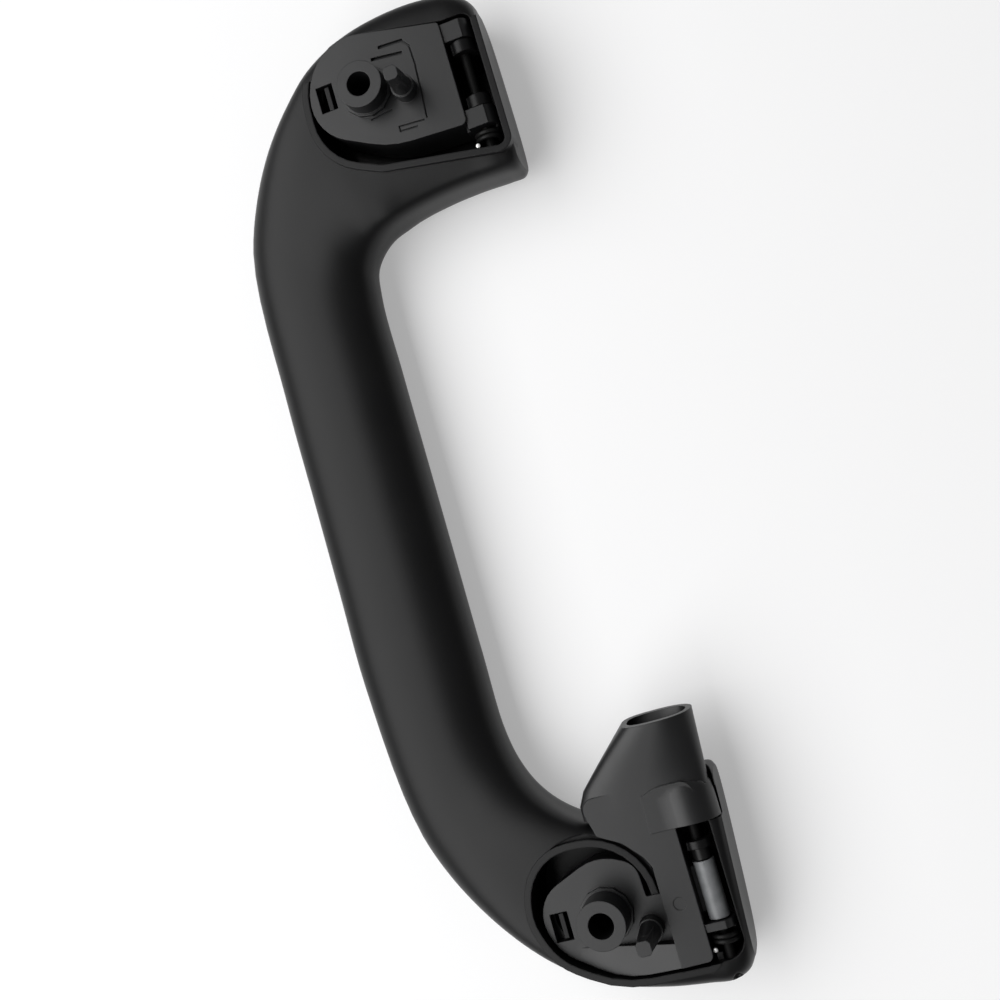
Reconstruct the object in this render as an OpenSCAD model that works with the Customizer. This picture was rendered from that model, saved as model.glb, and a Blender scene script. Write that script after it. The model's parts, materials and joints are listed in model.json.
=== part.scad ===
// Folding roof grab handle with a coat hook, lying on its cabin side.
// X runs along the hinge line towards the coat hook end, Y towards the hinge side,
// Z out of the roof. The screw bosses end at Z = 0, halfway between them is the origin.

/* [Grip] */
// Distance between the two screws
screw_pitch = 220; // [200:1:240]
// Width of the hand grip
bar_w = 33; // [28:0.5:36]
// Thickness of the hand grip
bar_t = 20.5; // [16:0.5:22]
// Distance of the grip's centre line from the screws
bar_offset = 32.2; // [29:0.1:36]
// How far each pod reaches beyond its screw
pod_reach = 25.6; // [24:0.1:30]
// Distance of the pods' side faces from the screws
pod_side = 33.9; // [33:0.1:36]
// Distance from the roof to the cabin side of the grip
handle_h = 30.5; // [29:0.5:36]
// Distance from the roof to the top of the pods
pod_drop = 8; // [7.5:0.1:9]
// Thickness of the pods under the pockets
pod_floor_t = 4.5; // [3:0.1:5]
// Height of the rim round each pocket above the pod
rim_h = 0.7; // [0.3:0.1:1]
// Thickness of the rim round each pocket
rim_t = 1.8; // [1.2:0.1:2]
// How much larger the pocket is than the bracket at its outer edge
pocket_gap = 0.9; // [0.8:0.1:1.5]
// Width of the open gap at the inner edge of each bracket
inner_gap = 4.5; // [3.5:0.1:5.5]

/* [Bracket] */
// Distance from the roof to the plate of the front bracket
front_plate_drop = 6.3; // [5.8:0.1:6.8]
// Distance from the roof to the hinge strip of the rear bracket
rear_strip_drop = 6.6; // [6.2:0.1:7]
// Distance from the roof to the sunken floor of the rear bracket
rear_floor_drop = 10; // [9:0.1:10.5]
// Thickness of the bracket plates
plate_t = 2.6; // [2:0.1:3]
// Thickness of the bracket side walls
case_wall = 1.8; // [1.4:0.1:2.4]
// How far the side walls stand in from the edge of the plates
wall_inset = 0.5; // [0.4:0.1:0.8]
// Outer diameter of the screw bosses
boss_d = 12.2; // [11:0.1:13]
// Diameter of the screw holes
screw_d = 6.4; // [5.5:0.1:7]
// Diameter of the wells for the screw heads
screw_well_d = 13; // [12:0.1:14]
// Diameter of the locating pins at their foot
locator_d = 6.2; // [5:0.1:6.6]
// Width across the flats of the locating pins
locator_flat = 3.6; // [3:0.1:4]
// How far the locating pins stand above the roof face
locator_rise = 7; // [5:0.1:9]
// Length of the snap windows
window_l = 7.2; // [6:0.1:8]
// Width of the snap windows
window_w = 4.6; // [3.8:0.1:5]
// Width of the lines embossed in the plates
line_w = 0.4; // [0.3:0.05:0.6]
// Depth of the lines embossed in the plates
line_depth = 0.5; // [0.3:0.05:0.8]

/* [Hinge] */
// Distance of the hinge line from the screws
hinge_y = 27; // [26.8:0.1:27.2]
// Distance from the roof to the hinge line
hinge_drop = 11; // [10.8:0.1:11.4]
// Diameter of the hinge pins
pin_d = 2.6; // [2:0.1:3]
// Running clearance round the hinge pins
run_gap = 0.05; // [0.03:0.01:0.1]
// Diameter of the bracket lugs
lug_d = 7.6; // [7:0.1:7.8]
// Diameter of the ears between the front lugs
ear_d = 6.8; // [6:0.1:7]
// Length of those ears along the hinge line
ear_l = 3.2; // [2.5:0.1:4]
// Gap between lugs, ears and springs along the hinge line
side_gap = 0.3; // [0.2:0.05:0.4]
// Diameter of the spring wire
wire_d = 1.2; // [1:0.05:1.3]
// Mean diameter of the spring coils
coil_d = 6; // [5.4:0.1:6.2]
// Turns of each spring
coil_turns = 2.5; // [2.5:1:3.5]
// Diameter of the stop pads
pad_d = 6; // [4:0.5:8]
// Height of the stop pads
pad_h = 3.4; // [2.5:0.1:4.2]

/* [Damper] */
// Outer diameter of the damper
damper_d = 5.4; // [5:0.1:5.8]
// Length of the damper
damper_l = 14.3; // [12:0.1:15]
// Wall of the damper case
damper_wall = 0.6; // [0.5:0.05:0.8]
// Oil gap round the damper core
oil_gap = 0.15; // [0.1:0.05:0.25]
// Diameter of the damper shaft
damper_shaft_d = 2.2; // [1.8:0.1:2.4]
// Thickness of the damper key
key_t = 1.2; // [1:0.1:1.6]

/* [Screw cover] */
// Thickness of the screw covers
cover_t = 2; // [1.6:0.1:2.4]
// Gap between the cover's tab and its window
tab_gap = 0.4; // [0.2:0.1:0.6]
// Thickness of the cover's snap tabs
tab_t = 1.2; // [1:0.1:1.4]

/* [Coat hook] */
// Distance from the rear screw to the mouth of the hook
hook_reach = 45; // [42:0.5:50]
// Width of the hook at its mouth
mouth_w = 17.6; // [15:0.1:18]
// Height of the hook at its mouth
mouth_h = 12; // [10:0.1:13]
// Wall of the hook
hook_wall = 1.6; // [1.2:0.1:2.2]
// Depth of the hollow in the hook
hook_depth = 16; // [12:0.5:18]
// How far the hook widens towards the grip
hook_flare = 15.5; // [10:0.5:16]
// Diameter of the round knuckle at the root of the hook
knuckle_d = 15; // [13:0.1:15.2]

/* [Hidden] */
$fn = 64;
eps = 0.02;

// Heights
pocket_z = -(handle_h - pod_floor_t);
rim_z = -(pod_drop - rim_h);
case_drop = handle_h - pod_floor_t - pad_h - cover_t - 2 * side_gap;
cover_z = -case_drop;
pin_r = pin_d / 2;
bore_r = pin_r + run_gap;

// Widest place of the slots beside the brackets
slot_y = hinge_y + lug_d / 2 + 0.6;
// Edge of the brackets beside the slots
plate_y = hinge_y - 3.8;
// Edge of the sunken floor of the rear bracket
step_y = plate_y - 8.2;
// End of the brackets that swings out furthest
plate_tip = -16.1;
tip_gap = 0.8;

// Places along the hinge line, from the screw of each pod
front_outer_lug = [-9.9, -4.9];
front_inner_lug = [14, 19];
front_ears = [for (x = [front_outer_lug[1] + side_gap, front_inner_lug[0] - side_gap - ear_l]) [x, x + ear_l]];
rear_lug = [7, 9];
damper_x = rear_lug[0] - side_gap - damper_l;
rear_ear = [damper_x - 5.2, damper_x - 3.2];
knuckle_x = [-28.6, -17.3];
coil_pitch = wire_d * 1.06;
coil_l = coil_turns * coil_pitch + wire_d;
// Ends of the hinge pins: in the bore behind the pod's end face, in the inner wall, in the knuckle
front_pin_start = pod_reach - 8.8;
rear_pin_start = pod_reach - 4.6;
pin_end = 17.4 + inner_gap * 1.9 + 2.5;
knuckle_pin = 8.5;
end_play = 0.4;

// Rim of the rear pocket, a round arc about this centre
rim_c = [-2.7, -2.3];
rim_r = 15;

// Points on an arc
function arc(c, r, a, b, n) =
    [for (i = [0:n]) let (t = a + (b - a) * i / n) c + r * [cos(t), sin(t)]];

function unit(v) = v / norm(v);
function side(v) = [v[1], -v[0]];
function xy(p) = [p[0], p[1]];

// Round one corner [x, y, radius] between its neighbours
function round_corner(a, b, c) = let (
        u = unit(xy(a) - xy(b)), w = unit(xy(c) - xy(b)),
        half = acos(max(-1, min(1, u * w))) / 2,
        m = xy(b) + unit(u + w) * b[2] / sin(half),
        s = xy(b) + u * b[2] / tan(half) - m,
        turn = (180 - 2 * half) * (u[0] * w[1] - u[1] * w[0] > 0 ? -1 : 1),
        n = max(2, ceil(abs(turn) / 12)))
    [for (i = [0:n]) let (t = turn * i / n)
        m + [s[0] * cos(t) - s[1] * sin(t), s[0] * sin(t) + s[1] * cos(t)]];

// Outline with round corners from a list of [x, y, radius], counter-clockwise
function rounded(c) = let (n = len(c))
    [for (i = [0:n - 1]) each round_corner(c[(i + n - 1) % n], c[i], c[(i + 1) % n])];

// The same corners moved outwards by m
function grow(c, m) = let (n = len(c))
    [for (i = [0:n - 1]) let (
            b = c[i], p = unit(side(xy(b) - xy(c[(i + n - 1) % n]))),
            q = unit(side(xy(c[(i + 1) % n]) - xy(b))),
            v = xy(b) + m * (p + q) / (1 + p * q),
            convex = p[0] * q[1] - p[1] * q[0] > 0)
        [v[0], v[1], max(0.05, b[2] + (convex ? m : -m))]];

// Corners turned round for the front pod, whose outline is the mirror image
function flip(c) = let (n = len(c)) [for (i = [n - 1:-1:0]) [-c[i][0], c[i][1], c[i][2]]];

plate_outer = pod_reach - 10;
front_corner = plate_outer - 5.2;
plate_front = [
    [front_corner, plate_y, 1], [-17.7, plate_y, 1.5], [-16.3, 2.3, 26],
    [-6.2, plate_tip, 12.5], [9.7, plate_tip + 1, 15.5], [plate_outer + 1.5, -4.1, 12.6]];
plate_rear = [
    [plate_outer, plate_y, 1.5], [-2, plate_y, 0.2], [-2, 10.8, 0.4], [-10.2, 10.4, 5], [-14.9, 1.8, 12.6],
    [-6.6, plate_tip - 1.7, 9.3], [6.7, plate_tip + 1.1, 12.8], [plate_outer + 0.6, 0, 21.8]];
pocket_tip = plate_tip - tip_gap;
pocket_outer = plate_outer + pocket_gap;
pocket_front = [
    [front_corner + pocket_gap, slot_y, 2.5], [-17.4 - inner_gap * 1.9, slot_y, 2],
    [-15.1 - inner_gap, -1.6, 5], [-12.2, pocket_tip, 15.5], [10, pocket_tip + 0.9, 15.6],
    [plate_outer + 1.6 + pocket_gap, -4.6, 13.4], [front_corner + pocket_gap, plate_y + 0.6, 1]];
// The rear pocket: a slot along the hinge line and a bay with a round rim
slot_start = knuckle_x[1] + side_gap;
slot_rear = [
    [pocket_outer + 0.2, slot_y, 5], [slot_start, slot_y, 0.5], [slot_start, step_y - 0.5, 0.5],
    [pocket_outer + 0.4, step_y - 0.5, 0.5]];
bay_rear = [
    [pocket_outer + 0.4, plate_y, 1.5], [12, plate_y, 0.2], [12, step_y, 0.2], [rim_c[0], step_y, 0.2],
    [rim_c[0], rim_c[1] + rim_r, 0.1], [rim_c[0] - rim_r, rim_c[1] + rim_r, rim_r - 0.1],
    [rim_c[0] - rim_r - 0.3, pocket_tip + 1.6, 12.8], [-2.4, pocket_tip - 1.6, 13.5],
    [7.9, pocket_tip + 2.4, 15.1], [pocket_outer + 0.1, -0.7, 28]];

module slab(c, z0, z1) translate([0, 0, z0]) linear_extrude(z1 - z0) polygon(rounded(c));
module at_front() translate([-screw_pitch / 2, 0, 0]) children();
module at_rear() translate([screw_pitch / 2, 0, 0]) children();
module rod(x0, x1, r) translate([x0, hinge_y, -hinge_drop]) rotate([0, 90, 0]) cylinder(r = r, h = x1 - x0);
module block(a, b) translate(a) cube(b - a);

// One section across the grip: a squared oval between an inner and an outer point,
// with its own squareness above and below its widest line
section_n = 36;
function spread(t) = 90 * (t + 0.11 * sin(360 * t));
function oval(a, n) = pow(pow(abs(cos(a)), n) + pow(abs(sin(a)), n), -1 / n);
function section(s) = let (
        p = [s[0], s[1]], q = [s[2], s[3]], top = -s[4], low = -s[5],
        mid = (p + q) / 2, zm = low + (top - low) * 0.52)
    [for (i = [0:section_n - 1]) let (
            quarter = floor(i * 4 / section_n), t = i * 4 / section_n - quarter,
            a = 90 * quarter + spread(t), up = a <= 180,
            r = oval(a, up ? s[6] : s[7]), w = r * cos(a), h = r * sin(a),
            d = mid + (q - p) / 2 * w)
        [d[0], d[1], zm + h * (up ? top - zm : zm - low)]];

// Smooth step between four rows of numbers
function blend(a, b, c, d, t) =
    0.5 * (2 * b + (c - a) * t + (2 * a - 5 * b + 4 * c - d) * t * t + (3 * b - a - 3 * c + d) * t * t * t);
function smooth(rows, n) = let (m = len(rows) - 1)
    [for (i = [0:m - 1]) for (j = [0:n - 1])
        blend(rows[max(0, i - 1)], rows[i], rows[i + 1], rows[min(m, i + 2)], j / n)];

// Rows across the rear half of the grip, from the side face of the pod to the middle of the bar:
// inner x, y, outer x, y, drop of the top, drop of the bottom, squareness above, below
bar_in = -(bar_offset - bar_w / 2);
bar_out = -(bar_offset + bar_w / 2);
bar_drop = handle_h - bar_t;
bar_row = [bar_drop, handle_h, 2.5, 2.5];
pod_row = [pod_drop, handle_h, 6, 3.6];
pod_shape = [
    [pod_drop + 1.8, handle_h - 2, 5, 3.4], [pod_drop + 0.4, handle_h - 0.4, 5, 3.6], pod_row, pod_row,
    pod_row, pod_row, pod_row, [pod_drop, handle_h, 4.6, 3.2], [pod_drop + 0.3, handle_h, 3.4, 2.9],
    [pod_drop + 0.9, handle_h, 2.8, 2.6], [bar_drop - 0.3, handle_h, 2.6, 2.5]];
// Inner and outer points of those rows, the outer ones from the end of the pod
function pod_rows(inner, outer) = [for (i = [0:len(inner) - 1])
    concat(inner[i], outer[i] + [pod_reach, 0], pod_shape[i])];
inner_rear = [
    [-27.6, pod_side + 1.3], [-28.8, pod_side + 0.4], [-29, pod_side - 5], [-29, 21], [-22.4, 13],
    [-21.6, 4], [-24.4, -2], [-29, -7.4], [-34.6, -11.4], [-41, bar_in + 1.8], [-48.5, bar_in + 0.3]];
outer_rear = [
    [-7, pod_side - 1.5], [-4.2, pod_side - 3.6], [-2.7, pod_side - 7.6], [-3.1, 20], [-4.4, 9.3], [-7.6, -3.5],
    [-13.7, -14.5], [-20.3, -22.6], [-29.8, -31.2], [-40.8, -38.5], [-53.6, bar_out + 4.7]];
inner_front = [
    [-29.2, pod_side - 0.8], [-30.8, pod_side - 2.4], [-31, pod_side - 6], [-30.8, 20], [-31.2, 10],
    [-32.4, 1], [-33.6, -3.7], [-35.2, -7.9], [-37.6, -11.1], [-41.6, bar_in + 1.6], [-48.5, bar_in + 0.3]];
outer_front = [
    [-12, pod_side - 1], [-9.4, pod_side - 2.6], [-6.8, pod_side - 6.4], [-4.9, 19.9], [-4.4, 9], [-6.3, -4.1],
    [-11.4, -15.6], [-17.8, -23.9], [-27.1, -33.1], [-38.5, -40.7], [-52, bar_out + 2.35]];
function shift(rows, x, d) =
    [for (r = rows) [d * (x + r[0]), r[1], d * (x + r[2]), r[3], r[4], r[5], r[6], r[7]]];
function reverse(v) = [for (i = [len(v) - 1:-1:0]) v[i]];
half_pitch = screw_pitch / 2;
middle_rows = [for (x = [0.36, 0.12, -0.12, -0.36])
    concat([x * half_pitch, bar_in, x * half_pitch, bar_out], bar_row)];
grip_rows = smooth(concat(
    shift(pod_rows(inner_rear, outer_rear), half_pitch, 1), middle_rows,
    reverse(shift(pod_rows(inner_front, outer_front), half_pitch, -1))), 3);

// Closed solid through a row of rings with the same number of points, cut into triangles
module skin(rings) {
    n = len(rings[0]);
    m = len(rings);
    polyhedron(
        points = [for (r = rings) each r],
        faces = concat(
            [for (i = [1:n - 2]) [0, i, i + 1]], [for (i = [1:n - 2]) (m - 1) * n * [1, 1, 1] + [0, i + 1, i]],
            [for (k = [0:m - 2]) for (i = [0:n - 1]) let (j = (i + 1) % n)
                each [[k * n + j, k * n + i, (k + 1) * n + i], [k * n + j, (k + 1) * n + i, (k + 1) * n + j]]]));
}
module grip_shell() skin([for (r = grip_rows) section(r)]);

// Raised rim round a pocket. It ends at x, or at the hinge side where x lies beyond the pocket
module rim(c, x) difference() {
    slab(grow(c, rim_t), -handle_h / 2, rim_z);
    slab(grow(c, -0.3), -handle_h / 2 - 1, rim_z + 1);
    if (x < 0) block([-60, -40, -handle_h], [x, 60, rim_z + 1]);
}

// Space that the strip, the knuckle and the hook turn through at the inner end of the rear pod
module hook_room() {
    rod(knuckle_x[0] - 6, slot_start, knuckle_d / 2 + 0.5);
    slab(grow(strip_rear, 0.4), -rear_strip_drop - plate_t - 0.4, 2);
    block([knuckle_x[0] - 8, 0.6, -hinge_drop - knuckle_d / 2 + 1.6], [hook_end + 0.4, hinge_y, 2]);
}

// Groove outside the rim of the rear bay, a crescent that fades out at both ends
module crescent() translate([0, 0, rim_z - 1.9]) linear_extrude(4) difference() {
    polygon(arc(rim_c + [-1, 0.5], rim_r + rim_t + 0.2, 0, 360, 60));
    polygon(arc(rim_c, rim_r + rim_t - 0.2, 0, 360, 60));
}

// An ear of the grip: a flat-topped post with a round eye on the hinge line
module ear(x) {
    rod(x[0], x[1], ear_d / 2);
    block([x[0], hinge_y - 2.7, pocket_z - 0.5], [x[1], hinge_y + 1.3, -hinge_drop + 2.4]);
}

module grip_body() color("#1c1d1f") difference() {
    union() {
        difference() {
            union() {
                difference() {
                    grip_shell();
                    at_rear() crescent();
                }
                at_front() rim(flip(pocket_front), -9);
                at_rear() rim(bay_rear, 17.5);
            }
            at_front() slab(flip(pocket_front), pocket_z, 1);
            at_rear() {
                slab(slot_rear, pocket_z, 1);
                slab(bay_rear, pocket_z, 1);
                hook_room();
            }
        }
        at_front() {
            for (x = front_ears) ear(x);
            nib(front_inner_lug[1] + side_gap + coil_l + 1.3, pin_end - 2.5);
        }
        at_rear() {
            ear(rear_ear);
            nib(rear_lug[1] + side_gap + coil_l + 1.3, pocket_outer);
        }
    }
    at_front() rod(-pod_reach - 10, pin_end, bore_r);
    at_rear() {
        rod(rear_lug[0], pod_reach + 10, bore_r);
        rod(rear_ear[0] - 1, rear_ear[1] + 1, bore_r);
    }
}

// A nib in the slot that the upright leg of a spring leans on
module nib(x, wall) {
    block([x, hinge_y - 3.4, pocket_z - 0.5], [wall + 1.5, hinge_y - pin_r - 0.5, -hinge_drop + 0.6]);
}

// A lug of a bracket: a round eye with a flat top, joined to the bracket's side
module lug(x) {
    rod(x[0], x[1], lug_d / 2);
    block([x[0], plate_y - 1, -hinge_drop - lug_d / 2 + 0.4], [x[1], hinge_y, -hinge_drop + 1.8]);
    block([x[0], plate_y - 0.2, -hinge_drop], [x[1], hinge_y + 1.4, -7.2]);
}

// A plate with a skirt round it, open towards the cabin
module case_shell(c, drop) {
    slab(c, -drop - plate_t, -drop);
    difference() {
        slab(grow(c, -wall_inset), -case_drop, -drop - plate_t + eps);
        slab(grow(c, -wall_inset - case_wall), -case_drop - 1, -drop - plate_t);
    }
}

// Screw boss with its foot, and the well for the screw head under the plate
module boss(drop) {
    translate([0, 0, -drop - plate_t]) cylinder(d = boss_d, h = drop + plate_t);
    translate([0, 0, -drop - eps]) cylinder(d = boss_d + 1.6, h = 1.2, $fn = 12);
    difference() {
        translate([0, 0, -case_drop + 1]) cylinder(d = screw_well_d + 2.4, h = case_drop - 1 - drop - eps);
        translate([0, 0, -case_drop]) cylinder(d = screw_well_d, h = case_drop - drop - plate_t);
    }
}
module screw_hole(drop) translate([0, 0, -drop - plate_t - 1]) cylinder(d = screw_d, h = drop + plate_t + 2);

// Locating pin: a round foot, then a taper with four flats
module locator(p, drop) translate([p[0], p[1], -drop - eps]) {
    h = drop + locator_rise;
    cylinder(d = locator_d, h = 4);
    intersection() {
        cylinder(d1 = locator_d, d2 = locator_flat + 0.5, h = h);
        translate([-locator_flat / 2, -locator_flat / 2, 0]) cube([locator_flat, locator_flat, h]);
    }
    cylinder(d1 = locator_d, d2 = locator_flat + 0.2, h = h - 4);
}

// A straight line cut into a plate from p to q
module line(p, q, drop, w = line_w, depth = line_depth)
    translate([p[0], p[1], -drop - depth])
        rotate(atan2(q[1] - p[1], q[0] - p[0]))
            translate([-w / 2, -w / 2, 0]) cube([norm(q - p) + w, w, depth + 1]);
module lines(pts, drop) for (i = [0:len(pts) - 2]) line(pts[i], pts[i + 1], drop);

module window(p, drop)
    translate([p[0] - window_l / 2, p[1] - window_w / 2, -drop - plate_t - 1])
        cube([window_l, window_w, plate_t + 2]);

front_window = [-2.3, -10.9];
rear_window = [0.7, -12.2];
front_locator = [3.6, 10.3];
rear_locator = [5.4, 10.1];

// Ribs between the screw well and the skirt
module ribs(c, drop, angles) intersection() {
    slab(grow(c, -wall_inset - case_wall / 2), -case_drop + 2, -drop - plate_t + eps);
    for (a = angles) rotate(a) translate([screw_well_d / 2 + 0.6, -0.6, -case_drop])
        cube([40, 1.2, case_drop]);
}

module bracket_front() color("#222325") at_front() {
    c = flip(plate_front);
    d = front_plate_drop;
    difference() {
        union() {
            case_shell(c, d);
            boss(d);
            ribs(c, d, [60, 180, 330]);
            locator(front_locator, d);
            lug(front_outer_lug);
            lug(front_inner_lug);
        }
        screw_hole(d);
        window(front_window, d);
        rod(-30, 30, bore_r);
        leg_hole(front_inner_lug[1]);
        line([-10, 6.6], [-9.6, 12.6], d, line_w * 2, line_depth * 2);
        line([-7.6, 3.9], [-6.5, 11.6], d, line_w * 2, line_depth * 2);
        lines([[-9.6, 12.6], [-7.4, 14.3], [-2.7, 14.5], [6.2, 14], [12.2, 13.6], [12.6, 12.6], [12, 5.9],
            [13.3, 5.9], [13.6, 10.4]], d);
        lines([[7.6, -0.7], [7, 5]], d);
    }
}

// Hole in the face of a lug for the straight leg of a spring
module leg_hole(x)
    translate([0, coil_d / 2, 0]) rod(x - 1.6, x + 1, wire_d / 2 + 0.1);

module bracket_rear() color("#222325") at_rear() {
    d = rear_strip_drop;
    f = rear_floor_drop;
    difference() {
        union() {
            case_shell(plate_rear, f);
            slab(strip_rear, -d - plate_t, -d);
            outer_band();
            block([-2, plate_y - case_wall, -case_drop], [plate_outer - 1, plate_y, -d - 1]);
            block([-2, step_y, -f - plate_t], [plate_outer - 1, step_y + 1.6, -d - 1]);
            boss(f);
            ribs(plate_rear, f, [60, 200, 330]);
            locator(rear_locator, f);
            lug(rear_lug);
            knuckle();
            slab(knuckle_pad, -d - 1, -d + 0.5);
            hook_duct();
            block([slot_start - 1, plate_y - case_wall, -hinge_drop - 3], [0, plate_y, -d - 1]);
        }
        screw_hole(f);
        window(rear_window, f);
        rod(rear_lug[0] - 1, rear_lug[1] + 1, bore_r);
        rod(knuckle_x[1] - knuckle_pin - end_play, knuckle_x[1] + 1, bore_r);
        leg_hole(rear_lug[1]);
        hook_hollow();
        key_slot();
        translate([0.6, 19, -d - line_depth / 3]) cylinder(d = 3.2, h = 1);
    }
}

// Raised outer band of the rear plate and the strip beside the hinge line
strip_rear = [
    [plate_outer, plate_y, 1.5], [-29, plate_y, 0.3], [-29, 1.2, 3], [-24, 2.5, 1],
    [-19.7, 3.6, 1], [-16.6, 9.4, 3], [-12, 13.7, 3], [-9.4, step_y, 0.5],
    [plate_outer + 0.25, step_y, 0.3]];

// Raised outer band of the rear plate, level with the strip and sloping down to the floor
module outer_band() intersection() {
    slab(plate_rear, -rear_floor_drop - 1, 0);
    linear_extrude(handle_h, center = true)
        polygon([[9.9, step_y + 1], [7.9, 0.9], [6.4, -12], [plate_outer + 4, -12], [plate_outer + 4, step_y + 1]]);
    rotate([90, 0, 90]) linear_extrude(plate_outer + 4) polygon([[-12, -rear_floor_drop - 1],
        [step_y + 1, -rear_floor_drop - 1], [step_y + 1, -rear_strip_drop - 0.05], [-9, -rear_floor_drop]]);
}

// Low pad on the strip that the knuckle grows out of
knuckle_pad = [
    [knuckle_x[1], 16.9, 0.2], [knuckle_x[1], hinge_y + 3, 0.2], [knuckle_x[0] + 0.6, hinge_y + 3, 3],
    [knuckle_x[0] + 0.6, 21, 6], [-26.4, 16.9, 0.5]];

// Round knuckle at the root of the hook, flattened on top, with a domed end
function knuckle_ring(x, r) = [for (i = [0:39]) let (a = i * 9)
    [x, hinge_y + r * cos(a), -hinge_drop + r * sin(a) * (a < 180 ? 0.72 : 1)]];
module knuckle() {
    r = knuckle_d / 2;
    skin(concat([for (a = [0:15:90]) knuckle_ring(knuckle_x[0] + 4 * (1 - cos(a)), r - 4 + 4 * sin(a))],
        [knuckle_ring(knuckle_x[1], r)]));
}

// Hollow hook: squared sections that widen from the mouth to the root.
// t runs from the mouth, 0, to the root, 1, and inset is the wall left outside
hook_end = knuckle_x[0] + 5;
function hook_section(t, inset) = let (
        x = -hook_reach + t * (hook_end + hook_reach),
        right = hinge_y + mouth_w * 0.45 - 1.2 * t,
        left = hinge_y - mouth_w * 0.6 - hook_flare * min(1, 1.32 * t),
        top = -rear_strip_drop + 0.4 * (1 - t), low = top - mouth_h + 2.4 * t,
        w = (right - left) / 2 - inset, h = (top - low) / 2 - inset)
    [for (i = [0:31]) let (a = i * 360 / 32, r = oval(a, cos(a) > 0 ? 2.3 + 2.2 * t : 3 + 1.6 * t))
        [x, (left + right) / 2 + w * r * cos(a), (top + low) / 2 + h * r * sin(a)]];
module hook_duct() skin([for (k = [0:6]) hook_section(k / 6, 0)]);
module hook_hollow() {
    depth = hook_depth / (hook_end + hook_reach);
    skin([for (k = [-1:4]) hook_section(k / 4 * depth, hook_wall)]);
}

// Covers over the screws, with a tab in the window and one behind the side wall
module screw_cover(c, p, drop) {
    slab(grow(c, -wall_inset - 0.5), cover_z - cover_t - side_gap, cover_z - side_gap);
    translate([p[0] - window_l / 2 + tab_gap, p[1] - tab_t / 2 + tab_gap, cover_z - side_gap - eps])
        cube([window_l - 2 * tab_gap, tab_t, -cover_z + side_gap - drop - 0.7]);
    y = plate_y - wall_inset - case_wall - 0.2;
    for (x = [1, 6.5]) block([x, y - tab_t, cover_z - side_gap - eps], [x + 4, y, cover_z + 5]);
}
module screw_cover_front() color("#28292b") at_front()
    screw_cover(flip(plate_front), front_window, front_plate_drop);
module screw_cover_rear() color("#28292b") at_rear()
    screw_cover(plate_rear, rear_window, rear_floor_drop);

module hinge_pin(x0, x1) color("#b9bcc0") rod(x0, x1, pin_r);
module hinge_pin_front() at_front() hinge_pin(-front_pin_start, pin_end - end_play);
module hinge_pin_rear_outer() at_rear() hinge_pin(rear_lug[0] - 0.1, rear_pin_start);
module hinge_pin_rear_inner() at_rear() hinge_pin(knuckle_x[1] - knuckle_pin, rear_ear[1] + 1.3);

// Torsion spring: a straight leg in the lug, the coil, and a leg that stands up at the far end
module return_spring(x) color("#d4d6d8") {
    r = coil_d / 2;
    w = wire_d / 2;
    steps = 16;
    coil = [for (i = [0:coil_turns * steps]) let (a = -360 * i / steps)
        [x + w + coil_pitch * i / steps, hinge_y + r * cos(a), -hinge_drop + r * sin(a)]];
    start = coil[0];
    last = coil[len(coil) - 1];
    wire(concat([start - [w + 1.4, 0, 0], start - [w + 0.2, 0, 0]], coil,
        [last + [0.3, 0, 1.4]], [[last[0] + 0.6, last[1], -8]]));
}
function cross3(a, b) = [a[1] * b[2] - a[2] * b[1], a[2] * b[0] - a[0] * b[2], a[0] * b[1] - a[1] * b[0]];
module wire(path) {
    n = 10;
    m = len(path);
    rings = [for (k = [0:m - 1]) let (
            d = unit(path[min(m - 1, k + 1)] - path[max(0, k - 1)]),
            out = path[k] - [path[k][0], hinge_y, -hinge_drop],
            u = unit(out - (out * d) * d), v = cross3(d, u))
        [for (i = [0:n - 1]) path[k] + wire_d / 2 * (cos(i * 360 / n) * u + sin(i * 360 / n) * v)]];
    skin(rings);
}
module return_spring_front() at_front() return_spring(front_inner_lug[1] + side_gap);
module return_spring_rear() at_rear() return_spring(rear_lug[1] + side_gap);

// Damper: a case keyed to the bracket, and a core fixed on the inner hinge pin
damper_r = damper_d / 2;
lid_t = 1.2;
key_z = -hinge_drop - 2;
module key_slot() block([damper_x + 1.4, plate_y - wall_inset - case_wall - 0.5, key_z - key_t / 2 - 0.05],
    [damper_x + damper_l - 1.4, plate_y + 0.5, key_z + key_t / 2 + 0.05]);
module damper_case() color("#a9abad") at_rear() {
    difference() {
        rod(damper_x, damper_x + damper_l, damper_r);
        rod(damper_x - 1, damper_x + damper_l - lid_t, damper_r - damper_wall);
    }
    block([damper_x + 1.5, plate_y - wall_inset - case_wall + 0.2, key_z - key_t / 2],
        [damper_x + damper_l - 1.5, hinge_y - damper_r + 0.9, key_z + key_t / 2]);
}
module damper_lid() color("#303234") at_rear() difference() {
    rod(damper_x + 0.1, damper_x + lid_t, damper_r - damper_wall - 0.02);
    rod(damper_x - 1, damper_x + lid_t + 1, damper_shaft_d / 2 + 0.05);
}
module damper_seal() color("#141414") at_rear()
    translate([damper_x + lid_t + 0.5, hinge_y, -hinge_drop]) rotate([0, 90, 0])
        rotate_extrude() translate([damper_shaft_d / 2 + 0.42, 0]) circle(r = 0.38, $fn = 24);
module damper_rotor() color("#3a3c3e") at_rear() difference() {
    union() {
        rod(rear_ear[1] + 0.1, damper_x - 0.3, 2.3);
        rod(damper_x - 0.4, damper_x + 3, damper_shaft_d / 2);
        rod(damper_x + lid_t + 1.1, damper_x + damper_l - lid_t - 0.3, damper_r - damper_wall - oil_gap);
    }
    rod(rear_ear[1] - 1, rear_ear[1] + 1.5, pin_r + 0.01);
}

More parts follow.
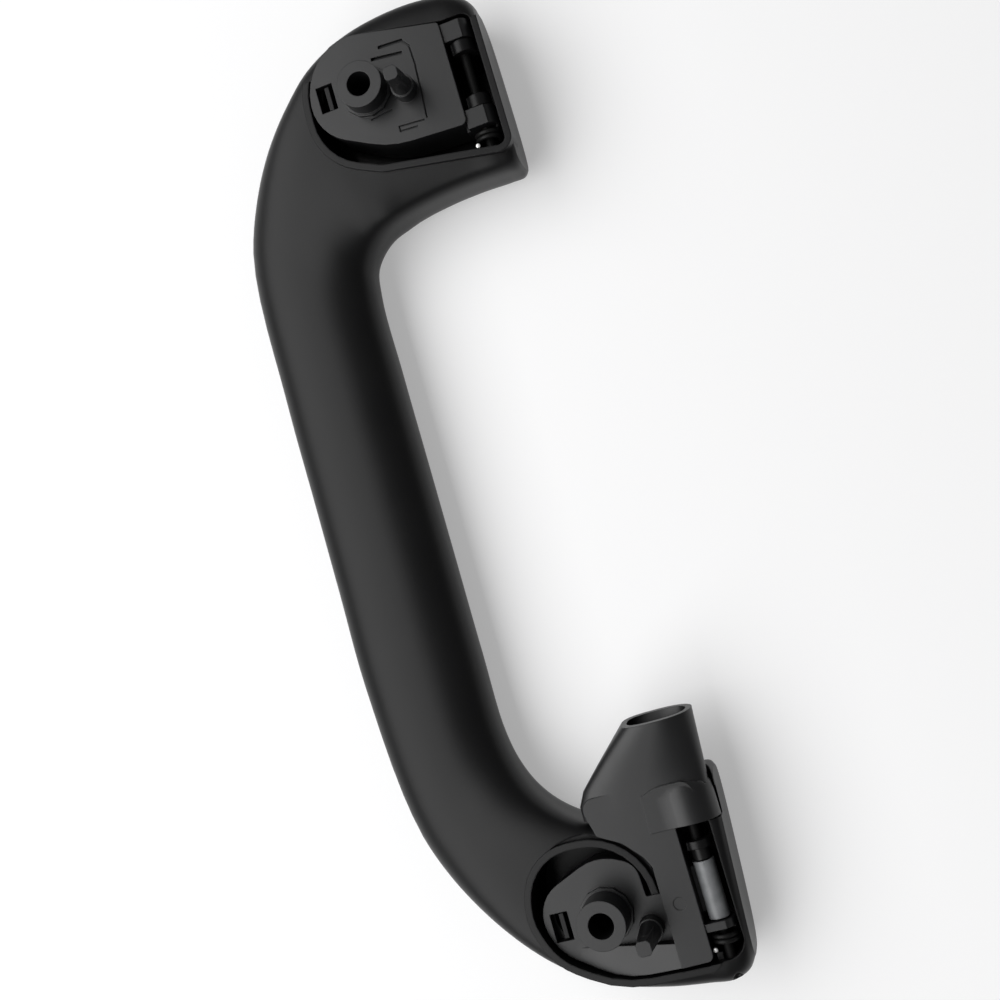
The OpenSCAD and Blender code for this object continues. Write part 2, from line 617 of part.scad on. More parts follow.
// Pads that the brackets close against
module stop_pad(x) translate([x, -9, pocket_z]) cylinder(d = pad_d, h = pad_h);
module stop_pad_front() color("#2b2b2b") at_front() stop_pad(2);
module stop_pad_rear() color("#2b2b2b") at_rear() stop_pad(2);

grip_body();
bracket_front();
bracket_rear();
screw_cover_front();
screw_cover_rear();
hinge_pin_front();
hinge_pin_rear_outer();
hinge_pin_rear_inner();
return_spring_front();
return_spring_rear();
damper_case();
damper_rotor();
damper_lid();
damper_seal();
stop_pad_front();
stop_pad_rear();
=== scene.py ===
import json
import math

import bmesh
import bpy
import numpy as np
from mathutils import Matrix, Vector


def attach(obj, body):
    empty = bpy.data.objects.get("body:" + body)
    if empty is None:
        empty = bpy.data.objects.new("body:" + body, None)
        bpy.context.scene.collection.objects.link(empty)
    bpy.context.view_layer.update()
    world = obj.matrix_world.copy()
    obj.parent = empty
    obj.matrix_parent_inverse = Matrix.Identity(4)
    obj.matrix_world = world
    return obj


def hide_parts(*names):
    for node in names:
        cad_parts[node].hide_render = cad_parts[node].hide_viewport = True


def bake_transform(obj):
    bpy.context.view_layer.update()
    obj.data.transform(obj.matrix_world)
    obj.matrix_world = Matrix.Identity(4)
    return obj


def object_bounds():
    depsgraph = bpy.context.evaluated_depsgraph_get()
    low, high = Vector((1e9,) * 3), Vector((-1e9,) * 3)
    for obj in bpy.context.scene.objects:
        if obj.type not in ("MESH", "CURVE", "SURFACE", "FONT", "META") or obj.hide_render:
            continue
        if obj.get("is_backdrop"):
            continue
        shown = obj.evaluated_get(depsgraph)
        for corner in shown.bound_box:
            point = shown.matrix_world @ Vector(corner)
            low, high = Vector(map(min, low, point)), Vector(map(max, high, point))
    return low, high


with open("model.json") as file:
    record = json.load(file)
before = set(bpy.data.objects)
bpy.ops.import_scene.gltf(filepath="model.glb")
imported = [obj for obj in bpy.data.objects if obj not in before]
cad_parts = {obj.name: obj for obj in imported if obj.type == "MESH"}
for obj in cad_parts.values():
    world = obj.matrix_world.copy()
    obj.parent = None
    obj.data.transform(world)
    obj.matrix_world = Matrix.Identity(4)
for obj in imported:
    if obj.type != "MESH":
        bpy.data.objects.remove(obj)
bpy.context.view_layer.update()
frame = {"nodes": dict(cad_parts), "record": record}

print("frame loaded:", len(frame["nodes"]), "nodes")


class Sock:
    # wraps a socket, so that shader maths reads as plain sums
    def __init__(self, tree, out):
        self.tree = tree
        self.out = out

    def calc(self, operation, *values):
        return self.tree.node("ShaderNodeMath", {"operation": operation}, dict(enumerate(values)))

    def __add__(self, other): return self.calc("ADD", self, other)
    def __radd__(self, other): return self.calc("ADD", other, self)
    def __sub__(self, other): return self.calc("SUBTRACT", self, other)
    def __rsub__(self, other): return self.calc("SUBTRACT", other, self)
    def __mul__(self, other): return self.calc("MULTIPLY", self, other)
    def __rmul__(self, other): return self.calc("MULTIPLY", other, self)
    def __truediv__(self, other): return self.calc("DIVIDE", self, other)
    def __rtruediv__(self, other): return self.calc("DIVIDE", other, self)
    def clip(self): return self.tree.node("ShaderNodeClamp", {}, {"Value": self})


class Finish:
    # the nodes of one material, or of another tree that is handed in
    def __init__(self, name, tree=None):
        if tree is None:
            self.mat = bpy.data.materials.new(name)
            self.mat.use_nodes = True
            tree = self.mat.node_tree
            tree.nodes.clear()
        self.nodes = tree.nodes
        self.links = tree.links

    def node(self, kind, settings, values, out=0):
        made = self.nodes.new(kind)
        for key, value in settings.items():
            setattr(made, key, value)
        for key, value in values.items():
            socket = made.inputs[key]
            if isinstance(value, Sock):
                self.links.new(value.out, socket)
            elif socket.type == "RGBA" and len(value) == 3:
                socket.default_value = (*value, 1)
            else:
                socket.default_value = value
        return Sock(self, made.outputs[out]) if len(made.outputs) else None

    def noise(self, scale, detail=2.0, rough=0.5, stretch=(1, 1, 1)):
        place = self.node("ShaderNodeTexCoord", {}, {}, "Object")
        spot = self.node("ShaderNodeMapping", {}, {"Vector": place, "Scale": stretch})
        return self.node("ShaderNodeTexNoise", {}, {"Vector": spot, "Scale": scale, "Detail": detail,
                                                    "Roughness": rough})

    def mix(self, factor, a, b):
        # inputs 6 and 7 and output 2 are the node's colours
        return self.node("ShaderNodeMix", {"data_type": "RGBA"}, {"Factor": factor, 6: a, 7: b}, 2)

    def bump(self, height, strength, distance, edge):
        # fine relief over edges that are broken by a small radius, as a mould leaves them
        soft = self.node("ShaderNodeBevel", {"samples": 4}, {"Radius": edge})
        return self.node("ShaderNodeBump", {}, {"Height": height, "Strength": strength, "Distance": distance,
                                                "Normal": soft})

    def surface(self, values):
        self.show(self.node("ShaderNodeBsdfPrincipled", {}, values))
        return self.mat

    def show(self, shader):
        self.node("ShaderNodeOutputMaterial", {}, {"Surface": shader})


# Scales are per metre, depths and edges in metres
gripLook = {
    "dark": (0.0036, 0.0036, 0.0038), "pale": (0.0056, 0.0056, 0.0059), "specular": 0.225,
    "rough": 0.37, "roughSpread": 0.05, "roughGrain": 0.06,
    "grainScale": 2400, "grainStrength": 0.2, "grainDepth": 0.00006, "cloudScale": 60, "edge": 0.0005,
    "smearScale": 38, "smearStretch": (1, 0.35, 1), "rubFrom": 0.56, "rubGain": 4, "rubShine": 0.03,
}
bracketLook = {
    **gripLook, "dark": (0.0044, 0.0045, 0.0049), "pale": (0.0066, 0.0067, 0.0073), "specular": 0.50,
    "rough": 0.41, "roughSpread": 0.1, "grainScale": 3000, "grainStrength": 0.12, "cloudScale": 130,
    "rubShine": 0.06, "edge": 0.0003,
}
coverLook = {**gripLook, "edge": 0.0003}
damperLook = {
    **gripLook, "dark": (0.10, 0.105, 0.11), "pale": (0.22, 0.225, 0.23), "specular": 0.4, "rough": 0.38,
    "grainStrength": 0.1, "cloudScale": 420, "edge": 0.0002,
}
rotorLook = {**gripLook, "dark": (0.006, 0.006, 0.006), "pale": (0.010, 0.010, 0.010), "edge": 0.0001}


def moulded(name, look):
    # satin moulded plastic: fine etched grain, faint flow clouds and a few rubbed places
    fin = Finish(name)
    grain = fin.noise(look["grainScale"], detail=3.0, rough=0.6)
    clouds = fin.noise(look["cloudScale"], detail=3.0, rough=0.55)
    smear = fin.noise(look["smearScale"], detail=4.0, rough=0.6, stretch=look["smearStretch"])
    rubbed = ((smear - look["rubFrom"]) * look["rubGain"]).clip()
    tone = fin.mix(clouds, look["dark"], look["pale"])
    rough = (look["rough"] + (clouds - 0.5) * look["roughSpread"] - rubbed * look["rubShine"]
             + (grain - 0.5) * look["roughGrain"])
    relief = fin.bump(grain, look["grainStrength"], look["grainDepth"], look["edge"])
    return fin.surface({"Base Color": tone, "Roughness": rough, "Specular IOR Level": look["specular"],
                        "Normal": relief})


pinLook = {
    "dark": (0.003, 0.003, 0.003), "pale": (0.007, 0.007, 0.007), "bare": (0.4, 0.4, 0.4),
    "metallic": 0.5, "specular": 0.2, "rough": 0.6, "roughHaze": 0.12, "roughLines": 0.1, "bareShine": 0.1,
    "lineScale": 5000, "lineStretch": (0.06, 1, 1), "lineStrength": 0.25, "lineDepth": 0.00003,
    "hazeScale": 420, "edge": 0.0001,
}
springLook = {
    **pinLook, "dark": (0.006, 0.006, 0.006), "pale": (0.014, 0.014, 0.014), "bare": (0.75, 0.75, 0.74),
    "rough": 0.42, "lineScale": 7000,
}


def drawnSteel(name, look):
    # dark drawn wire or pin: fine lines along X, a slight haze, and bare metal where it was cut
    fin = Finish(name)
    lines = fin.noise(look["lineScale"], stretch=look["lineStretch"])
    haze = fin.noise(look["hazeScale"], detail=3.0, rough=0.6)
    bare = fin.node("ShaderNodeAttribute", {"attribute_name": "cutEnd"}, {}, "Fac")
    tone = fin.mix(bare, fin.mix(haze, look["dark"], look["pale"]), look["bare"])
    rough = (look["rough"] + (haze - 0.5) * look["roughHaze"] + (lines - 0.5) * look["roughLines"]
             - bare * look["bareShine"])
    relief = fin.bump(lines, look["lineStrength"], look["lineDepth"], look["edge"])
    return fin.surface({"Base Color": tone, "Roughness": rough, "Metallic": look["metallic"],
                        "Specular IOR Level": look["specular"], "Normal": relief})


rubberLook = {
    "dark": (0.004, 0.004, 0.004), "pale": (0.009, 0.009, 0.009), "specular": 0.2, "rough": 0.78,
    "roughSpread": 0.2, "grainScale": 2600, "grainStrength": 0.5, "grainDepth": 0.00008, "bloomScale": 190,
    "edge": 0.0003,
}


def softRubber(name, look):
    # matt rubber: dense grain under a pale, uneven bloom
    fin = Finish(name)
    grain = fin.noise(look["grainScale"])
    bloom = fin.noise(look["bloomScale"], detail=3.0, rough=0.6)
    tone = fin.mix(bloom, look["dark"], look["pale"])
    rough = look["rough"] + (bloom - 0.5) * look["roughSpread"]
    relief = fin.bump(grain, look["grainStrength"], look["grainDepth"], look["edge"])
    return fin.surface({"Base Color": tone, "Roughness": rough, "Specular IOR Level": look["specular"],
                        "Normal": relief})


finishes = {
    "grip_plastic": moulded("gripGrain", gripLook),
    "bracket_plastic": moulded("bracketMoulding", bracketLook),
    "cover_plastic": moulded("coverGrain", coverLook),
    "pin_steel": drawnSteel("pinSteel", pinLook),
    "spring_steel": drawnSteel("springWire", springLook),
    "damper_plastic": moulded("damperShell", damperLook),
    "rotor_plastic": moulded("rotorPlastic", rotorLook),
    "soft_rubber": softRubber("padRubber", rubberLook),
}
slotOf = {s["node"]: s["material_slot"] for s in frame["record"]["subparts"]}
bodyOf = {n: b for b, members in frame["record"]["behaviour"]["bodies"].items() for n in members}
print("finishes:", len(finishes))


def meshPiece(name, points, faces):
    mesh = bpy.data.meshes.new(name)
    mesh.from_pydata(points.tolist(), [], faces.tolist())
    piece = bpy.data.objects.new(name, mesh)
    bpy.context.scene.collection.objects.link(piece)
    return piece


def pointsOf(mesh):
    spots = np.zeros(len(mesh.vertices) * 3, np.float32)
    mesh.vertices.foreach_get("co", spots)
    return spots.reshape(-1, 3).astype(float)


def dress(piece, node):
    # the finish and the slot of the node that this piece stands for
    piece.data.materials.clear()
    piece.data.materials.append(finishes[slotOf[node]])
    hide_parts(node)


def squareOval(angle, power):
    # radius of a superellipse of half width and half height 1
    return (np.abs(np.cos(angle)) ** power + np.abs(np.sin(angle)) ** power) ** (-1 / power)


def smoothRows(rows, steps, even):
    # Rows in between, on a cubic through four neighbours, up to two thirds of the way into the last span.
    # Even: the slope at a row also weighs how far its two neighbours are, so that close rows don't bulge
    last = len(rows) - 1
    spans = np.arange((3 * last - 1) * steps // 3 + 1) / steps
    i = np.minimum(spans.astype(int), last - 1)
    t = (spans - i)[:, None]
    a, b, c, d = rows[np.maximum(i - 1, 0)], rows[i], rows[i + 1], rows[np.minimum(i + 2, last)]
    if not even:
        return 0.5 * (2 * b + (c - a) * t + (2 * a - 5 * b + 4 * c - d) * t ** 2 + (3 * b - a - 3 * c + d) * t ** 3)
    weighing = 0.75  # between 0.5, which holds close rows tightest, and 1, plain distance
    outer = np.hypot(np.diff(rows[:, 2]), np.diff(rows[:, 3]))[:, None] ** weighing
    inner = np.hypot(np.diff(rows[:, 0]), np.diff(rows[:, 1]))[:, None] ** weighing
    gap = np.hstack([inner, inner, outer, outer] + [(inner + outer) / 2] * 4)
    step = np.diff(rows, axis=0) / gap
    slope = np.vstack([step[:1], (step[:-1] * gap[1:] + step[1:] * gap[:-1]) / (gap[:-1] + gap[1:]), step[-1:]])
    return ((2 * t ** 3 - 3 * t ** 2 + 1) * b + (t ** 3 - 2 * t ** 2 + t) * gap[i] * slope[i]
            + (3 * t ** 2 - 2 * t ** 3) * c + (t ** 3 - t ** 2) * gap[i] * slope[i + 1])


def ringFaces(rings, around):
    # two triangles for each place between neighbouring rings
    k, i = np.meshgrid(np.arange(rings - 1), np.arange(around), indexing="ij")
    j = (i + 1) % around
    first = np.stack([k * around + j, k * around + i, (k + 1) * around + i], -1)
    second = np.stack([k * around + j, (k + 1) * around + i, (k + 1) * around + j], -1)
    return np.stack([first, second], 2).reshape(-1, 3)[:, ::-1]


# Millimetres. Inner and outer hold (x, y) past the screw for each section from a pod's end to the bar, and power
# the squareness of a section's upper and lower half
gripForm = {
    "halfPitch": 110.0, "reach": 25.6, "height": 30.5, "around": 36, "steps": 3,
    "widest": 0.52,  # share of the height at which a section is widest
    "bunching": 0.11,  # how far the points of a section draw near its corners
    "barInner": -15.7, "barOuter": -48.7, "barDrop": 10.0, "barPower": 2.5, "barAt": (0.36, 0.12, -0.12, -0.36),
    "podDrop": 8.0, "dropMore": [1.8, 0.4, 0, 0, 0, 0, 0, 0, 0.3, 0.9], "lastDropLess": 0.3,
    "lowLess": [2, 0.4, 0, 0, 0, 0, 0, 0, 0, 0, 0],
    "podPower": [(5, 3.4), (5, 3.6), (6, 3.6), (6, 3.6), (6, 3.6), (6, 3.6), (6, 3.6), (4.6, 3.2), (3.4, 2.9),
                 (2.8, 2.6), (2.6, 2.5)],
    "innerRear": [(-27.6, 35.2), (-28.8, 34.3), (-29, 28.9), (-29, 21), (-22.4, 13), (-21.6, 4), (-24.4, -2),
                  (-29, -7.4), (-34.6, -11.4), (-41, -13.9), (-48.5, -15.4)],
    "outerRear": [(-7, 32.4), (-4.2, 30.3), (-2.7, 26.3), (-3.1, 20), (-4.4, 9.3), (-7.6, -3.5), (-13.7, -14.5),
                  (-20.3, -22.6), (-29.8, -31.2), (-40.8, -38.5), (-53.6, -44)],
    "innerFront": [(-29.2, 33.1), (-30.8, 31.5), (-31, 27.9), (-30.8, 20), (-31.2, 10), (-32.4, 1), (-33.6, -3.7),
                   (-35.2, -7.9), (-37.6, -11.1), (-41.6, -14.1), (-48.5, -15.4)],
    "outerFront": [(-12, 32.9), (-9.4, 31.3), (-6.8, 27.5), (-4.9, 19.9), (-4.4, 9), (-6.3, -4.1), (-11.4, -15.6),
                   (-17.8, -23.9), (-27.1, -33.1), (-38.5, -40.7), (-52, -46.35)],
}


def gripLoft(form, finer):
    # Squared ovals between an inner and an outer point, carried from pod to pod along smoothed rows.
    # A row holds the inner point, the outer point, the drops of top and bottom, and the squareness of both.
    # x and y: the middle of the two points, plus half their distance times r cos(angle).
    # z: the widest level, plus r sin(angle) times the height above it or below it
    pitch, bar, deep = form["halfPitch"], form["barDrop"], form["height"]
    tops = [form["podDrop"] + more for more in form["dropMore"]] + [bar - form["lastDropLess"]]
    lows = [deep - less for less in form["lowLess"]]

    def podRows(end, way):
        inner = np.array(form["inner" + end])
        outer = np.array(form["outer" + end]) + (form["reach"], 0)
        rows = np.column_stack([inner, outer, tops, lows, np.array(form["podPower"])])
        rows[:, [0, 2]] = way * (pitch + rows[:, [0, 2]])
        return rows

    middle = np.array([[at * pitch, form["barInner"], at * pitch, form["barOuter"], bar, deep, form["barPower"],
                        form["barPower"]] for at in form["barAt"]])
    rows = np.vstack([podRows("Rear", 1), middle, podRows("Front", -1)[::-1]])
    rows = smoothRows(rows, form["steps"] * finer, finer > 1)
    around = form["around"] * finer
    turn = np.arange(around) * 4 / around
    quarter = np.floor(turn)
    part = turn - quarter
    angle = np.radians(90 * (quarter + part + form["bunching"] * np.sin(2 * np.pi * part)))[None, :]
    above = angle <= np.pi + 1e-9
    x0, y0, x1, y1, topDrop, lowDrop, powerUp, powerLow = [rows[:, c, None] for c in range(8)]
    r = squareOval(angle, np.where(above, powerUp, powerLow))
    wide, high = r * np.cos(angle), r * np.sin(angle)
    middleZ = -lowDrop + (lowDrop - topDrop) * form["widest"]
    z = middleZ + high * np.where(above, -topDrop - middleZ, middleZ + lowDrop)
    points = np.stack([(x0 + x1) / 2 + (x1 - x0) / 2 * wide, (y0 + y1) / 2 + (y1 - y0) / 2 * wide, z], -1)
    return points.reshape(-1, 3) / 1000, ringFaces(len(rows), around)


# Millimetres. Shares are of the mouth's width, and powers (squareness) run from the mouth to the root
hookForm = {
    "screw": 110.0, "reach": 45.0, "root": -23.6, "hinge": 27.0, "mouthWide": 17.6, "mouthHigh": 12.0, "drop": 6.6,
    "around": 32, "spans": 6, "rightShare": 0.45, "rightTaper": 1.2, "leftShare": 0.6, "flare": 15.5,
    "flareRate": 1.32, "mouthLift": 0.4, "lowRise": 2.4, "leftPower": (3, 1.6), "rightPower": (2.3, 2.2),
    "rounderPower": (2.1, 0.5, 1.3),  # of the right side in the finer loft: start, even part, late part
}


def hookLoft(form, finer):
    # Squared sections from the mouth to the root, straight between seven places: x runs along the hook,
    # y and z are the section's middle plus its half width and half height times r cos and r sin of the angle
    places = np.arange(form["spans"] + 1)[:, None] / form["spans"]
    around = form["around"] * finer
    angle = (np.arange(around) * 2 * np.pi / around)[None, :]
    right = form["hinge"] + form["mouthWide"] * form["rightShare"] - form["rightTaper"] * places
    left = (form["hinge"] - form["mouthWide"] * form["leftShare"]
            - form["flare"] * np.minimum(1, form["flareRate"] * places))
    top = -form["drop"] + form["mouthLift"] * (1 - places)
    low = top - form["mouthHigh"] + form["lowRise"] * places
    if finer == 1:
        rightPower = form["rightPower"][0] + form["rightPower"][1] * places
    else:
        start, evenPart, latePart = form["rounderPower"]
        rightPower = start + evenPart * places + latePart * places ** 4
    leftPower = form["leftPower"][0] + form["leftPower"][1] * places
    r = squareOval(angle, np.where(np.cos(angle) > 0, rightPower, leftPower))
    x = form["screw"] - form["reach"] + places * (form["root"] + form["reach"]) + 0 * angle
    y = (left + right) / 2 + (right - left) / 2 * r * np.cos(angle)
    z = (top + low) / 2 + (top - low) / 2 * r * np.sin(angle)
    return np.stack([x, y, z], -1).reshape(-1, 3) / 1000, ringFaces(len(places), around)


# metres and degrees, for the copies of the CAD nodes
skinForm = {
    "merge": 2e-6, "onSkin": 3e-6, "finer": 4, "farthest": 0.0015, "probe": 0.001, "sharp": 30.0, "agree": 28.0,
}


def drawnOnto(piece, target, lift=0.0):
    # where the points of a piece land on the nearest place of a target, lifted along its normal
    wrap = piece.modifiers.new("wrap", "SHRINKWRAP")
    wrap.target = target
    wrap.wrap_method = "NEAREST_SURFACEPOINT"
    wrap.wrap_mode = "ABOVE_SURFACE"
    wrap.offset = lift
    bpy.context.view_layer.update()
    spots = pointsOf(piece.evaluated_get(bpy.context.evaluated_depsgraph_get()).data)
    piece.modifiers.remove(wrap)
    return spots


def mergedCopy(node, name, cuts):
    # a copy of a CAD node whose triangles share their corners, each edge cut as often as asked
    shape = bmesh.new()
    shape.from_mesh(frame["nodes"][node].data)
    bmesh.ops.remove_doubles(shape, verts=shape.verts, dist=skinForm["merge"])
    if cuts:
        bmesh.ops.subdivide_edges(shape, edges=shape.edges[:], cuts=cuts, use_grid_fill=True)
    bmesh.ops.triangulate(shape, faces=shape.faces[:])
    mesh = bpy.data.meshes.new(name)
    shape.to_mesh(mesh)
    shape.free()
    if "custom_normal" in mesh.attributes:
        mesh.attributes.remove(mesh.attributes["custom_normal"])  # the loose triangles' own flat normals
    mesh.shade_smooth()
    piece = bpy.data.objects.new(name, mesh)
    bpy.context.scene.collection.objects.link(piece)
    return piece


def skinOf(piece, start, loft, form):
    # which points lie on the loft's flat facets, where they land on the same loft made finer, and its normals there
    plain = meshPiece("plainGuide", *loft(form, 1))
    fine = meshPiece("fineGuide", *loft(form, skinForm["finer"]))
    for guide in (plain, fine):
        guide.data.shade_smooth()
    on = np.linalg.norm(drawnOnto(piece, plain) - start, axis=1) < skinForm["onSkin"]
    landed = drawnOnto(piece, fine)
    out = drawnOnto(piece, fine, skinForm["probe"]) - landed
    on &= np.linalg.norm(landed - start, axis=1) < skinForm["farthest"]
    out /= np.maximum(np.linalg.norm(out, axis=1, keepdims=True), 1e-9)
    bpy.data.objects.remove(plain)
    bpy.data.objects.remove(fine)
    return on, landed, out


def shadeSkin(mesh, spots, normals, skin):
    # faces that lie on the skin, and face as it does, take its normals. All others keep their own
    ends = np.zeros(len(mesh.loops), np.int32)
    mesh.loops.foreach_get("vertex_index", ends)
    ends = ends.reshape(-1, 3)
    shading = np.zeros(len(mesh.loops) * 3, np.float32)
    mesh.corner_normals.foreach_get("vector", shading)
    shading = shading.reshape(-1, 3, 3)
    facing = np.cross(spots[ends[:, 1]] - spots[ends[:, 0]], spots[ends[:, 2]] - spots[ends[:, 0]])
    facing /= np.maximum(np.linalg.norm(facing, axis=1, keepdims=True), 1e-15)
    mean = normals[ends].mean(1)
    mean /= np.maximum(np.linalg.norm(mean, axis=1, keepdims=True), 1e-9)
    moulding = skin[ends].all(1) & ((facing * mean).sum(1) > math.cos(math.radians(skinForm["agree"])))
    shading[moulding] = normals[ends][moulding]
    mesh.normals_split_custom_set(shading.reshape(-1, 3).tolist())
    return int(moulding.sum()), len(moulding)


def smoothCopy(node, name, cuts=0, skins=(), slant=None):
    # A merged copy of a CAD node that takes its place. Its points on a skin move onto the finer loft, so that the
    # moulded skin is round, but never past the CAD node's own box
    piece = mergedCopy(node, name, cuts)
    mesh = piece.data
    start = pointsOf(mesh)
    spots = start.copy()
    normals = np.zeros_like(start)
    skin = np.zeros(len(start), bool)
    for loft, form in skins:
        on, landed, out = skinOf(piece, start, loft, form)
        on &= ~skin
        spots[on] = landed[on]
        normals[on] = out[on]
        skin |= on
    spots = np.clip(spots, start.min(0), start.max(0))
    if slant:
        spots[:, 0] += slantOf(spots, slant)
    mesh.vertices.foreach_set("co", spots.astype(np.float32).ravel())
    mesh.update()
    mesh.set_sharp_from_angle(angle=math.radians(skinForm["sharp"]))
    if skin.any():
        moulding, faces = shadeSkin(mesh, spots, normals, skin)
        farthest = np.linalg.norm(spots - start, axis=1).max() * 1000
        print(name, "skin faces", moulding, "of", faces, "largest move mm", round(float(farthest), 3))
    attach(piece, bodyOf[node])
    dress(piece, node)


# metres. The hook's mouth is cut on a slant: its upper lip stands back, less and less towards the root
mouthCut = {"mouth": 0.065, "root": 0.080, "low": -0.0182, "top": -0.0062, "back": 0.0016, "inner": 0.0}


def slantOf(spots, cut):
    # how far back a point moves: the full depth, times its share of the height, times its nearness squared
    near = np.clip((cut["root"] - spots[:, 0]) / (cut["root"] - cut["mouth"]), 0, 1)
    high = np.clip((spots[:, 2] - cut["low"]) / (cut["top"] - cut["low"]), 0, 1)
    return cut["back"] * high * near * near * (spots[:, 1] > cut["inner"])


smoothCopy("grip_body", "gripShell", 1, [(gripLoft, gripForm)])
smoothCopy("bracket_rear", "rearBracket", 1, [(hookLoft, hookForm)], mouthCut)
plainPieces = [
    ("bracket_front", "frontBracket"), ("screw_cover_front", "frontCover"), ("screw_cover_rear", "rearCover"),
    ("hinge_pin_front", "frontPin"), ("hinge_pin_rear_outer", "rearOuterPin"),
    ("hinge_pin_rear_inner", "rearInnerPin"), ("damper_case", "damperCase"), ("damper_rotor", "damperRotor"),
    ("damper_lid", "damperLid"), ("damper_seal", "damperSeal"), ("stop_pad_front", "frontPad"),
    ("stop_pad_rear", "rearPad"),
]
for node, name in plainPieces:
    smoothCopy(node, name)
print("copies:", len(plainPieces) + 2)

# millimetres: a torsion spring round the hinge line, with one leg in a lug and one that stands up
springForm = {
    "hinge": (27.0, -11.0), "wire": 0.6, "coil": 3.0, "pitch": 1.272, "turns": 2.5, "perTurn": 48, "around": 16,
    "starts": {"frontSpring": -90.7, "rearSpring": 119.3},
    "foot": [(-2.0, 0, 0), (-1.2, 0, 0.02), (-0.5, 0, 0.02)],  # from the coil's first point
    "top": -8.0, "legSlip": 0.6, "legFrom": 0.12, "legSteps": 9,
    "dome": 0.08, "rimRise": 0.05, "rimShare": 0.8, "sharp": 40, "bright": 0.5,
    "blendIn": 0.5, "blendOut": 0.3,  # how far past the foot and before the leg the winding starts and ends
}


def springWire(form, name, node):
    # a round section carried along a coil: x grows by the pitch a turn, y and z run round the hinge line
    y0, z0 = form["hinge"]
    count = int(form["turns"] * form["perTurn"])
    turn = -2 * np.pi * np.arange(count + 1) / form["perTurn"]
    x = form["starts"][name] + form["wire"] + form["pitch"] * np.arange(count + 1) / form["perTurn"]
    coil = np.column_stack([x, y0 + form["coil"] * np.cos(turn), z0 + form["coil"] * np.sin(turn)])
    foot = coil[0] + np.array(form["foot"])
    rise = np.linspace(form["legFrom"], 1, form["legSteps"])[:, None]
    leg = coil[-1] + rise * [form["legSlip"], 0, form["top"] - coil[-1][2]]
    path = np.vstack([foot, coil[2:], leg])
    along = np.gradient(path, axis=0)
    along /= np.linalg.norm(along, axis=1, keepdims=True)
    out = path - np.column_stack([path[:, 0], np.full(len(path), y0), np.full(len(path), z0)])
    out -= (out * along).sum(1, keepdims=True) * along
    out /= np.linalg.norm(out, axis=1, keepdims=True)
    side = np.cross(along, out)
    n = form["around"]
    angle = np.arange(n) * 2 * np.pi / n
    ring = out[:, None] * np.cos(angle)[None, :, None] + side[:, None] * np.sin(angle)[None, :, None]
    wire = (path[:, None] + form["wire"] * ring).reshape(-1, 3)

    # the cut end is a little domed: a rim, then the tip
    rim = path[-1] + along[-1] * form["rimRise"] + form["wire"] * form["rimShare"] * ring[-1]
    tip = path[-1] + along[-1] * form["dome"]
    points = np.vstack([wire, rim, tip, path[0]])
    rings = len(path) + 1
    i = np.arange(n)
    j = (i + 1) % n
    end = np.column_stack([(rings - 1) * n + i, (rings - 1) * n + j, np.full(n, rings * n)])
    begin = np.column_stack([j, i, np.full(n, rings * n + 1)])
    piece = meshPiece(name, points / 1000, np.vstack([ringFaces(rings, n), end, begin]))
    piece.data.shade_smooth()
    piece.data.set_sharp_from_angle(angle=math.radians(form["sharp"]))
    bare = np.zeros(len(points), np.float32)
    bare[(rings - 1) * n:rings * n + 1] = 1  # bare metal on the cut face and its edge
    bare[(rings - 3) * n:(rings - 1) * n] = form["bright"]
    piece.data.attributes.new("cutEnd", "FLOAT", "POINT").data.foreach_set("value", bare)
    dress(piece, node)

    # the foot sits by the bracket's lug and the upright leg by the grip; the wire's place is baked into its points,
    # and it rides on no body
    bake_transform(piece)


springWire(springForm, "frontSpring", "return_spring_front")
springWire(springForm, "rearSpring", "return_spring_rear")
print("springs wound")

# white: the share of plain white in what is seen of the table. It grows to all of it further out
floorLook = {
    "tone": (0.93, 0.93, 0.935), "rough": 0.9, "specular": 0.1, "reach": 3.0, "gap": 0.00002, "white": 0.35,
    "fadeFrom": 0.3, "fadeOver": 1.0,
}


def makeFloor(look):
    # white table just under the grip
    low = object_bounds()[0].z - look["gap"]
    r = look["reach"]
    floor = meshPiece("floor", np.array([(-r, -r, low), (r, -r, low), (r, r, low), (-r, r, low)]),
                      np.array([(0, 1, 2, 3)]))
    fin = Finish("floorWhite")
    shader = fin.node("ShaderNodeBsdfPrincipled", {}, {"Base Color": look["tone"], "Roughness": look["rough"],
                                                       "Specular IOR Level": look["specular"]})
    white = fin.node("ShaderNodeEmission", {}, {"Color": (1, 1, 1), "Strength": 1.0})
    rays = [fin.node("ShaderNodeLightPath", {}, {}, "Is %s Ray" % kind)
            for kind in ("Camera", "Glossy", "Transmission")]
    away = fin.node("ShaderNodeVectorMath", {"operation": "LENGTH"},
                    {0: fin.node("ShaderNodeTexCoord", {}, {}, "Object")}, "Value")
    fade = ((away - look["fadeFrom"]) / look["fadeOver"]).clip() * (1 - look["white"])
    seen = (rays[0] + rays[1] + rays[2]).clip() * look["white"] + rays[0] * fade
    fin.show(fin.node("ShaderNodeMixShader", {}, {0: seen, 1: shader, 2: white}))
    floor.data.materials.append(fin.mat)
    floor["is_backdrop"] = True


worldLook = {"ceiling": (0.15, 0.15, 0.15), "walls": (0.85, 0.85, 0.85), "height": 0.35}


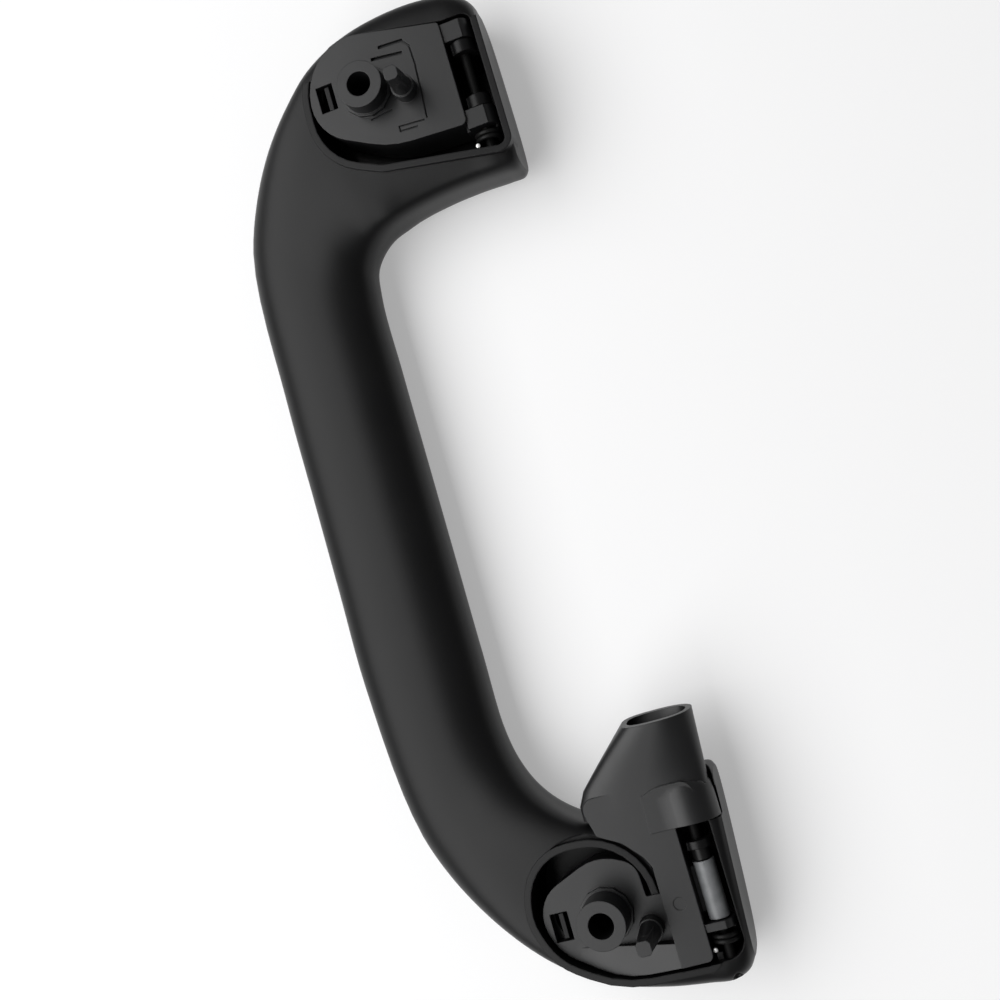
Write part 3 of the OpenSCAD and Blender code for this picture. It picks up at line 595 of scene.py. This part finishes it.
def makeWorld(look):
    # a dim ceiling over pale walls, which fade into it a third of the way up
    world = bpy.data.worlds.new("studio")
    bpy.context.scene.world = world
    world.use_nodes = True
    fin = Finish("studio", world.node_tree)
    way = fin.node("ShaderNodeSeparateXYZ", {}, {0: fin.node("ShaderNodeTexCoord", {}, {}, "Generated")}, "Z")
    wall = (1 - way / look["height"]).clip()
    tone = fin.mix(wall * wall, look["ceiling"], look["walls"])
    fin.links.new(tone.out, fin.nodes["Background"].inputs["Color"])


# metres, degrees and watts: one wide soft box on the hand grip's side, its middle this far from straight above
softBox = {"lean": 37.6, "distance": 1.0, "wide": 2.2, "deep": 1.0, "watts": 20.8}


def makeSoftBox(look):
    light = bpy.data.lights.new("softBox", "AREA")
    light.shape = "RECTANGLE"
    light.size = look["wide"]
    light.size_y = look["deep"]
    light.energy = look["watts"]
    lamp = bpy.data.objects.new("softBox", light)
    lean = math.radians(look["lean"])
    lamp.location = (0, -look["distance"] * math.sin(lean), look["distance"] * math.cos(lean))
    lamp.rotation_euler = (lean, 0, 0)
    bpy.context.scene.collection.objects.link(lamp)


# the photo's view: metres, the lens and sensor in millimetres, and the ways to the picture's lower edge and ahead
view = {
    "place": (0.02994, 0.07318, 0.30227), "lens": 45.0, "sensor": 36.0, "nearest": 0.01,
    "down": (0.9571, -0.2891, -0.0187), "ahead": (-0.0848, -0.2182, -0.9722),
}


def makeCamera(view):
    cam = bpy.data.cameras.new("camera")
    cam.lens = view["lens"]
    cam.sensor_width = view["sensor"]
    cam.sensor_fit = "HORIZONTAL"
    cam.clip_start = view["nearest"]
    eye = bpy.data.objects.new("camera", cam)
    ahead = Vector(view["ahead"]).normalized()
    right = ahead.cross(-Vector(view["down"])).normalized()
    up = right.cross(ahead)
    eye.matrix_world = Matrix.Translation(view["place"]) @ Matrix((right, up, -ahead)).transposed().to_4x4()
    bpy.context.scene.collection.objects.link(eye)
    bpy.context.scene.camera = eye


makeFloor(floorLook)
makeWorld(worldLook)
makeSoftBox(softBox)
makeCamera(view)
bpy.context.scene.view_settings.view_transform = "Standard"
print("floor, lamp and camera set")
